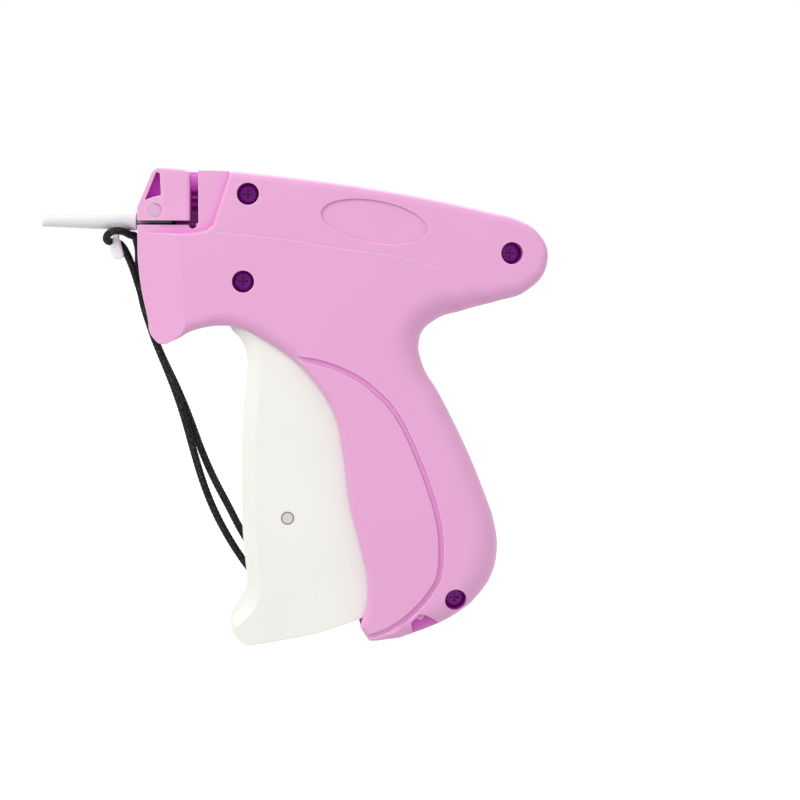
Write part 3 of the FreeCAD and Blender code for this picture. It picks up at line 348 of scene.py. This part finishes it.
def lacquered_head(name, code, edge_code):
    """Steel screw heads in dark lacquer: even and half gloss, with pale specks along their edges."""
    material, tree = new_material(name)
    place = node(tree, "ShaderNodeTexCoord").outputs["Object"]
    specks = node(tree, "ShaderNodeTexNoise", {"Vector": place, "Scale": 1.0 / SPECK, "Detail": 3.0})
    round_edge = node(tree, "ShaderNodeBevel", {"Radius": HEAD_EDGE}, samples=6)
    pale_edge = node(tree, "ShaderNodeMath", {0: edges_of(tree, round_edge, HEAD_EDGE_FULL),
                                         1: specks.outputs["Fac"]}, operation="MULTIPLY")
    tint = node(tree, "ShaderNodeMix", {"Factor": pale_edge.outputs[0], "A": linear(code), "B": linear(edge_code)},
                data_type="RGBA")
    shader = node(tree, "ShaderNodeBsdfPrincipled", {
        "Base Color": tint.outputs["Result"], "Roughness": 0.45, "Specular IOR Level": 0.3,
        "Normal": round_edge.outputs["Normal"]})
    node(tree, "ShaderNodeOutputMaterial", {"Surface": shader.outputs["BSDF"]})
    return material


def braid_yarn(name, colour, fleck):
    """Spun polyester braid: dull black yarn with the gaps between the strands painted darker as shade and, on
    their crowns, short fibres that show as pale grey flecks."""
    material, tree = new_material(name)
    place = node(tree, "ShaderNodeTexCoord").outputs["Object"]
    crown = node(tree, "ShaderNodeAttribute", attribute_name="crown").outputs["Fac"]
    fibres = node(tree, "ShaderNodeTexNoise", {"Vector": place, "Scale": 1.0 / FIBRE, "Detail": 3.0})
    light = node(tree, "ShaderNodeMapRange", {"Value": fibres.outputs["Fac"], "From Min": FLECK_FROM,
                                              "From Max": FLECK_FULL})
    flecks = node(tree, "ShaderNodeMath", {0: light.outputs["Result"], 1: crown}, operation="MULTIPLY")
    # Painted shade: the gaps between strands darker than the crowns
    tint = node(tree, "ShaderNodeMix", {"Factor": crown, "A": scaled(colour, GAP_PAINTED_SHADE), "B": tuple(colour)},
                data_type="RGBA")
    tint = node(tree, "ShaderNodeMix", {"Factor": flecks.outputs[0], "A": tint.outputs["Result"],
                                        "B": tuple(fleck)}, data_type="RGBA")
    bump = node(tree, "ShaderNodeBump", {"Height": fibres.outputs["Fac"], "Strength": 0.5,
                                         "Distance": FIBRE_DEPTH})
    shader = node(tree, "ShaderNodeBsdfPrincipled", {
        "Base Color": tint.outputs["Result"], "Roughness": 0.7, "Specular IOR Level": 0.25,
        "Normal": bump.outputs["Normal"]})
    node(tree, "ShaderNodeOutputMaterial", {"Surface": shader.outputs["BSDF"]})
    return material


def paint(material, *names):
    """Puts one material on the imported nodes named."""
    for name in names:
        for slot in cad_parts[name].material_slots:
            slot.material = material


# ---------------------------------------------------------------- surfaces

def grid_mesh(name, points):
    """A closed mesh from a grid of points, rows along the path and columns round it: quads between neighbours,
    the last column joined to the first, and one face over either end."""
    rows, cols = points.shape[:2]
    index = np.arange(rows * cols).reshape(rows, cols)
    beside = np.roll(index, -1, axis=1)
    quads = np.stack([index[:-1], beside[:-1], beside[1:], index[1:]], axis=-1).reshape(-1, 4)
    mesh = bpy.data.meshes.new(name)
    mesh.from_pydata(points.reshape(-1, 3).tolist(), [],
                     quads.tolist() + [index[0, ::-1].tolist(), index[-1].tolist()])
    mesh.polygons.foreach_set("use_smooth", np.ones(len(mesh.polygons), dtype=bool))
    mesh.update()
    piece = bpy.data.objects.new(name, mesh)
    bpy.context.scene.collection.objects.link(piece)
    return piece


def carried(path, radius, columns, off):
    """A round profile carried along a path. At each path point the profile lies square to the path, at the
    given radius (one value for each point and column). Its start direction is off cross the path's direction,
    turned back by the running sum of its own turning, so that the profile never twists; the path never
    runs along off."""
    tangent = np.gradient(path, axis=0)
    tangent /= np.linalg.norm(tangent, axis=1, keepdims=True)
    normal = np.cross(np.asarray(off, dtype=float), tangent)
    normal /= np.linalg.norm(normal, axis=1, keepdims=True)
    side = np.cross(tangent, normal)
    step = np.einsum("ij,ij->i", np.diff(normal, axis=0), 0.5 * (side[1:] + side[:-1]))
    twist = np.concatenate([[0.0], np.cumsum(step)])
    angle = np.linspace(0.0, 2.0 * math.pi, columns, endpoint=False)[None, :] - twist[:, None]
    ring = normal[:, None] * np.cos(angle)[..., None] + side[:, None] * np.sin(angle)[..., None]
    return path[:, None] + ring * radius[..., None]


def evenly(path, step):
    """Points at even distances along a run of points, and how far along it each lies."""
    run = np.concatenate([[0.0], np.cumsum(np.linalg.norm(np.diff(path, axis=0), axis=1))])
    count = max(8, int(round(run[-1] / step)))
    want = np.linspace(0.0, run[-1], count + 1)
    return np.stack([np.interp(want, run, path[:, k]) for k in range(3)], axis=1), want


def middle_of(lo, hi):
    """The middle of a box."""
    return [(a + b) / 2 for a, b in zip(lo, hi)]


def coil_spring(name, lo, hi, axis, wire, turns, steps=20, columns=10):
    """A helical compression spring that fills the box lo to hi along axis 0 or 1. The middle of its wire stands
    off the box's middle line by half the box's height less half the wire, at angle 2 pi turns t, and goes along
    the axis with t - CLOSING sin(2 pi t) / (2 pi), so that the turns close up at either end. A turn has that
    many steps, and the wire that many columns."""
    t = np.linspace(0.0, 1.0, int(turns * steps) + 1)
    eased = t - CLOSING * np.sin(2.0 * math.pi * t) / (2.0 * math.pi)
    angle = 2.0 * math.pi * turns * t
    radius = (hi[2] - lo[2]) / 2 - wire / 2
    path = np.tile(middle_of(lo, hi), (len(t), 1))
    path[:, 1 - axis] += radius * np.cos(angle)
    path[:, 2] += radius * np.sin(angle)
    path[:, axis] = lo[axis] + wire / 2 + (hi[axis] - lo[axis] - wire) * eased
    return grid_mesh(name, carried(path, np.full((len(path), columns), wire / 2), columns, np.eye(3)[axis]))


# ---------------------------------------------------------------- the tether's route

# Control points in millimetres: from the bar in the foot's pocket up to the nose, once round the neck of the
# cap's tab, and back to the bar
OUTWARD = [(9.8, 6.6, -43.1), (9.5, 7.0, -44.9), (9.0, 9.2, -45.8), (8.0, 12.3, -45.4),
           (5.0, 14.6, -44.3), (0.0, 15.0, -43.7), (-7.0, 14.9, -43.9), (-14.5, 13.6, -44.2),
           (-22.0, 12.1, -43.2), (-29.2, 11.4, -40.6), (-35.5, 11.2, -36.0), (-40.7, 11.3, -29.8),
           (-45.7, 11.5, -22.2), (-50.1, 11.7, -13.8), (-53.4, 11.8, -5.2), (-56.0, 11.8, 3.8),
           (-58.4, 11.8, 12.8), (-61.3, 11.8, 21.6), (-64.6, 11.9, 29.8), (-67.7, 12.0, 37.2),
           (-69.7, 12.0, 44.5), (-71.7, 12.0, 51.6), (-73.2, 10.9, 56.6), (-74.7, 8.2, 60.6),
           (-76.0, 4.9, 63.2)]
AROUND = [(-77.6, 3.7, 64.1), (-79.3, 2.6, 64.0), (-80.0, -1.2, 64.6), (-79.4, -3.9, 66.1),
          (-77.4, -5.3, 67.3), (-74.6, -4.3, 66.9), (-73.1, 0.2, 65.8), (-72.4, 4.9, 66.0),
          (-72.3, 9.0, 65.2)]
BACK = [(-71.6, 12.7, 61.8), (-71.9, 14.2, 55.6), (-70.9, 14.4, 47.0), (-68.2, 14.4, 38.4),
        (-64.7, 14.3, 30.0), (-60.6, 14.2, 21.6), (-56.9, 14.1, 12.6), (-53.7, 13.8, 3.4),
        (-49.9, 13.4, -5.2), (-45.8, 13.0, -12.8), (-42.2, 12.8, -20.0), (-37.6, 12.9, -27.4),
        (-32.0, 13.5, -34.0), (-25.0, 14.2, -38.8), (-17.0, 15.0, -41.2), (-9.0, 15.2, -41.0),
        (-2.0, 15.2, -41.4), (4.0, 15.3, -41.1), (9.0, 14.9, -41.3), (11.7, 12.6, -40.8),
        (11.0, 9.6, -40.1), (10.3, 7.1, -40.9), (9.8, 6.6, -42.9)]
# A direction at least 37 degrees off every stretch of the route
OFF_ROUTE = (-0.2, 0.66, 0.72)


def route_line():
    """The cord's centre line, read from a NURBS spline of order 3 whose control points are the route's."""
    points = np.array(OUTWARD + AROUND + BACK) * MM
    curve = bpy.data.curves.new("tether_route", "CURVE")
    curve.dimensions = "3D"
    spline = curve.splines.new("NURBS")
    spline.points.add(len(points) - 1)
    spline.points.foreach_set("co", np.c_[points, np.ones(len(points))].ravel())
    spline.order_u = 3
    spline.use_endpoint_u = True
    spline.resolution_u = 24
    route = bpy.data.objects.new("tether_route", curve)
    bpy.context.scene.collection.objects.link(route)
    mesh = bpy.data.meshes.new_from_object(route)
    line = np.empty(len(mesh.vertices) * 3)
    mesh.vertices.foreach_get("co", line)
    bpy.data.objects.remove(route)
    bpy.data.meshes.remove(mesh)
    bpy.data.curves.remove(curve)
    return line.reshape(-1, 3)


def braid_height(run, pitch, strands):
    """How high the braid stands at each point of its grid, from 0 in a gap to 1 on a crown. Two sets of strands
    wind round the cord, one each way, and each is an arch, the square root of a sine, across its width. They
    cross as a checkerboard, and where a strand passes under it is lowered to the share UNDER."""
    angle = np.linspace(0.0, 1.0, BRAID_COLUMNS, endpoint=False)[None, :]
    turn = (run / pitch)[:, None]
    right, left = strands * (angle + turn), strands * (angle - turn)
    over = (np.floor(right) + np.floor(left)) % 2.0
    arch_right, arch_left = (np.sqrt(np.clip(np.sin(math.pi * (way % 1.0)), 0.0, 1.0)) for way in (right, left))
    return np.maximum(arch_right * (UNDER + (1.0 - UNDER) * over), arch_left * (1.0 - (1.0 - UNDER) * over))


# ---------------------------------------------------------------- operators

class TAG_OT_stage(bpy.types.Operator):
    """Makes the floor, the soft lamps, the white surroundings and the camera"""
    bl_idname = "tag_attacher.stage"
    bl_label = "Stage"

    def execute(self, context):
        s = settings("stage")
        scene = context.scene
        scene.view_settings.view_transform = "Standard"
        world = bpy.data.worlds.new("white_room")
        scene.world = world
        world.use_nodes = True
        tree = world.node_tree
        tree.nodes.clear()
        light = node(tree, "ShaderNodeBackground", {"Color": WHITE, "Strength": s.fill})
        white = node(tree, "ShaderNodeBackground", {"Color": WHITE, "Strength": 1.0})
        both = node(tree, "ShaderNodeMixShader", {0: seen_directly(tree), 1: light.outputs[0],
                                                  2: white.outputs[0]})
        node(tree, "ShaderNodeOutputWorld", {"Surface": both.outputs[0]})

        # White seamless paper: matt, and lifted to full white where it is looked at, more so far from the
        # lamps, so that only the object's soft shadow shows on it.
        material, tree = new_material("matt_white_paper")
        place = node(tree, "ShaderNodeTexCoord").outputs["Object"]
        away = node(tree, "ShaderNodeVectorMath", {0: place}, operation="LENGTH")
        lift = node(tree, "ShaderNodeMapRange", {"Value": away.outputs["Value"], "From Min": PAPER_NEAR,
                                                 "From Max": PAPER_FAR, "To Min": s.lift, "To Max": FAR_LIFT})
        lift = node(tree, "ShaderNodeMath", {0: seen_directly(tree), 1: lift.outputs["Result"]},
                    operation="MULTIPLY")
        paper = node(tree, "ShaderNodeBsdfPrincipled", {
            "Base Color": PAPER, "Roughness": 0.9, "Emission Color": WHITE, "Emission Strength": lift.outputs[0]})
        node(tree, "ShaderNodeOutputMaterial", {"Surface": paper.outputs["BSDF"]})
        mesh = bpy.data.meshes.new("floor")
        corners = ((-PAPER_HALF, -PAPER_HALF), (PAPER_HALF, -PAPER_HALF), (PAPER_HALF, PAPER_HALF),
                   (-PAPER_HALF, PAPER_HALF))
        mesh.from_pydata([(x, y, -s.floor) for x, y in corners], [], [(0, 1, 2, 3)])
        mesh.materials.append(material)
        floor = bpy.data.objects.new("floor", mesh)
        scene.collection.objects.link(floor)

        for name, place, power, size in LAMPS:
            lamp = bpy.data.lights.new(name, "AREA")
            lamp.energy = getattr(s, power)
            lamp.size = size
            made = bpy.data.objects.new(name, lamp)
            made.location = place
            made.rotation_euler = (Vector(place) - Vector(AIM)).to_track_quat("Z", "Y").to_euler()
            scene.collection.objects.link(made)

        data = bpy.data.cameras.new("camera")
        data.sensor_width = SENSOR
        data.lens = LENS
        data.shift_x, data.shift_y = SHIFT
        camera = bpy.data.objects.new("camera", data)
        camera.location = (EYE[0], -s.distance, EYE[1])
        camera.rotation_euler = (math.radians(90.0 + PITCH), 0.0, math.radians(YAW))
        scene.collection.objects.link(camera)
        scene.camera = camera
        return {"FINISHED"}


class TAG_OT_tether(bpy.types.Operator):
    """Makes the braided cord that ties the needle cap to the grip's foot"""
    bl_idname = "tag_attacher.tether"
    bl_label = "Tether"

    def execute(self, context):
        s = settings("tether")
        line, run = evenly(route_line(), PATH_STEP)
        height = braid_height(run, s.pitch, s.strands)
        radius = s.diameter / 2 - s.relief * (1.0 - height)
        cord = grid_mesh("tether_cord_braid", carried(line, radius, BRAID_COLUMNS, OFF_ROUTE))
        crown = cord.data.attributes.new("crown", "FLOAT", "POINT")
        crown.data.foreach_set("value", np.clip((height - CROWN_FROM) / (1.0 - CROWN_FROM), 0.0, 1.0).ravel())
        cord.data.materials.append(braid_yarn("spun_polyester_braid", tuple(s.colour), tuple(s.fleck)))
        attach(cord, "housing")
        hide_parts("tether_cord")
        return {"FINISHED"}


class TAG_OT_springs(bpy.types.Operator):
    """Makes the return spring and the clip release spring as wound wire"""
    bl_idname = "tag_attacher.springs"
    bl_label = "Springs"

    def execute(self, context):
        s = settings("springs")
        # Patented wire: hard drawn, bright, with faint lines from the die.
        steel = metal("patented_spring_wire", "#B9BCC0", roughness=0.28, streak=0.15 * MM, along="X")

        # The return spring ends at the trigger's seat, which comes towards the grip as the trigger is pulled.
        lo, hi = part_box("return_spring")
        back = coil_spring("return_spring_coil", lo, hi, 0, s.return_wire, s.return_turns)
        back.data.materials.append(steel)
        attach(back, "housing")
        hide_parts("return_spring")
        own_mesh(back)

        # The release spring stands on the casing's inner floor, and the button presses it down.
        lo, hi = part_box("release_spring")
        small = coil_spring("release_spring_coil", lo, hi, 1, s.release_wire, s.release_turns)
        small.data.materials.append(steel)
        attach(small, "housing")
        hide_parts("release_spring")
        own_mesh(small)
        return {"FINISHED"}


class TAG_OT_casing(bpy.types.Operator):
    """Gives the casing halves, the nose block and what shows between them their moulded plastic"""
    bl_idname = "tag_attacher.casing"
    bl_label = "Casing"

    def execute(self, context):
        s = settings("casing")
        # Pink ABS, the common casing plastic: even, half glossy, with a spark-eroded grain too fine to feel.
        # Light that gets into its recesses bounces often and leaves them magenta: painted here as shade in the
        # colour, the more closed in the deeper. The inner parts seen through its slots take the same plastic, so
        # they get this painted shade too.
        paint(moulded("moulded_abs_pink", tuple(s.shell), roughness=0.4, grain=s.grain, grain_depth=0.04 * MM,
                      edge=s.edge, deep=tuple(s.deep)),
              "left_shell", "right_shell", "nose_block", "clip_channel", "needle_seat", "feed_wheel", "tether_bar",
              "needle_lock_lever")
        # The lock's pin is turned from rod of the same plastic: a little greyer, without the mould's grain.
        paint(moulded("turned_abs_pin", tuple(s.pin), roughness=0.34, grain=0.15 * MM, grain_depth=0.01 * MM,
                      edge=s.edge), "needle_lock_pin")
        return {"FINISHED"}


class TAG_OT_plastics(bpy.types.Operator):
    """Gives the trigger, the inner works and the cap their plastics"""
    bl_idname = "tag_attacher.plastics"
    bl_label = "Trigger, works and cap"

    def execute(self, context):
        s = settings("casing")
        pin = middle_of(*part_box("trigger_pin"))
        # Off-white ABS: the same mould finish as the casing, warmer and slightly duller.
        white = {"roughness": 0.42, "grain": s.grain, "grain_depth": 0.03 * MM, "edge": s.edge}
        paint(moulded("moulded_abs_white", tuple(s.trigger), **white, mark=(pin[0], pin[2], WITNESS_RADIUS)),
              "trigger")
        paint(moulded("moulded_abs_white_button", tuple(s.trigger), **white), "clip_release_button")
        # Natural acetal: waxy, ivory white, slick where parts slide.
        paint(moulded("moulded_acetal", tuple(s.inner), roughness=0.33, grain=s.grain, grain_depth=0.02 * MM,
                      edge=s.edge, subsurface=0.15),
              "needle_hub", "drive_lever", "plunger_slide", "feed_ratchet", "feed_arm")
        # Low-density polyethylene: milky, so light goes in and spreads, with a soft greasy gloss.
        paint(moulded("milky_polyethylene", tuple(s.cap), roughness=0.25, grain=0.5 * MM,
                      grain_depth=0.006 * MM, edge=s.edge, cloud=0.015, subsurface=0.35, depths=(1.0, 1.0, 1.0),
                      reach=2.0 * MM), "needle_cap")
        return {"FINISHED"}


class TAG_OT_steel(bpy.types.Operator):
    """Gives the screws, pins, needle, rod and bracket their metal finishes"""
    bl_idname = "tag_attacher.steel"
    bl_label = "Steel parts"

    def execute(self, context):
        # Ground pins: fine lines along the pin, so the ends look silky grey.
        paint(metal("ground_steel_pin", "#C9C8C4", roughness=0.3, streak=0.2 * MM, along="Y"),
              "lever_head_pin", "lever_fulcrum_pin")
        # The trigger's pin is nickel plated: bright and slightly warm, brushed by the tool that pressed it in.
        paint(metal("nickel_plated_pin", "#CBC9C3", roughness=0.42, streak=0.5 * MM, along="Z", scratch=0.5),
              "trigger_pin")
        # Drawn tube and rod: bright, with long lines from the die.
        paint(metal("drawn_steel_tube", "#D3D4D3", roughness=0.18, streak=0.1 * MM, along="X"),
              "needle", "ejector_rod", "feed_shaft")
        # Pressed sheet: rolled grain, duller than the rods.
        paint(metal("pressed_steel_sheet", "#B4B6B5", roughness=0.35, streak=0.3 * MM, along="X"),
              "lever_bracket", "knife", "pawl_spring")
        # Screws in dark lacquer, pale in specks along the edges of their recesses.
        paint(lacquered_head("dark_lacquered_screw", "#9A24B0", "#F0C8F4"), "case_screws")
        return {"FINISHED"}


class TAG_PT_panel(bpy.types.Panel):
    """Lists the tag attacher's pieces and their settings"""
    bl_idname = "TAG_PT_panel"
    bl_label = "Garment tag attacher"
    bl_space_type = "VIEW_3D"
    bl_region_type = "UI"
    bl_category = "Tag attacher"

    def draw(self, context):
        for operator in OPERATORS:
            self.layout.operator(operator.bl_idname)
        for name, group in GROUPS.items():
            box = self.layout.box()
            box.label(text=name.capitalize())
            for key in group.__annotations__:
                box.prop(settings(name), key)


GROUPS = {"casing": TagAttacherCasing, "tether": TagAttacherTether, "springs": TagAttacherSprings,
          "stage": TagAttacherStage}
OPERATORS = (TAG_OT_stage, TAG_OT_tether, TAG_OT_springs, TAG_OT_casing, TAG_OT_plastics, TAG_OT_steel)


def register():
    """Makes the classes and the scene's settings known."""
    for cls in (*GROUPS.values(), *OPERATORS, TAG_PT_panel):
        bpy.utils.register_class(cls)
    for name, group in GROUPS.items():
        setattr(bpy.types.Scene, "tag_attacher_" + name, PointerProperty(type=group))


def unregister():
    """Takes back what register did."""
    for name in GROUPS:
        delattr(bpy.types.Scene, "tag_attacher_" + name)
    for cls in (TAG_PT_panel, *reversed(OPERATORS), *GROUPS.values()):
        bpy.utils.unregister_class(cls)


def main():
    """Makes the stage, the new pieces and the finishes in order."""
    register()
    for operator in OPERATORS:
        group, name = operator.bl_idname.split(".")
        getattr(getattr(bpy.ops, group), name)()


if __name__ == "__main__":
    main()
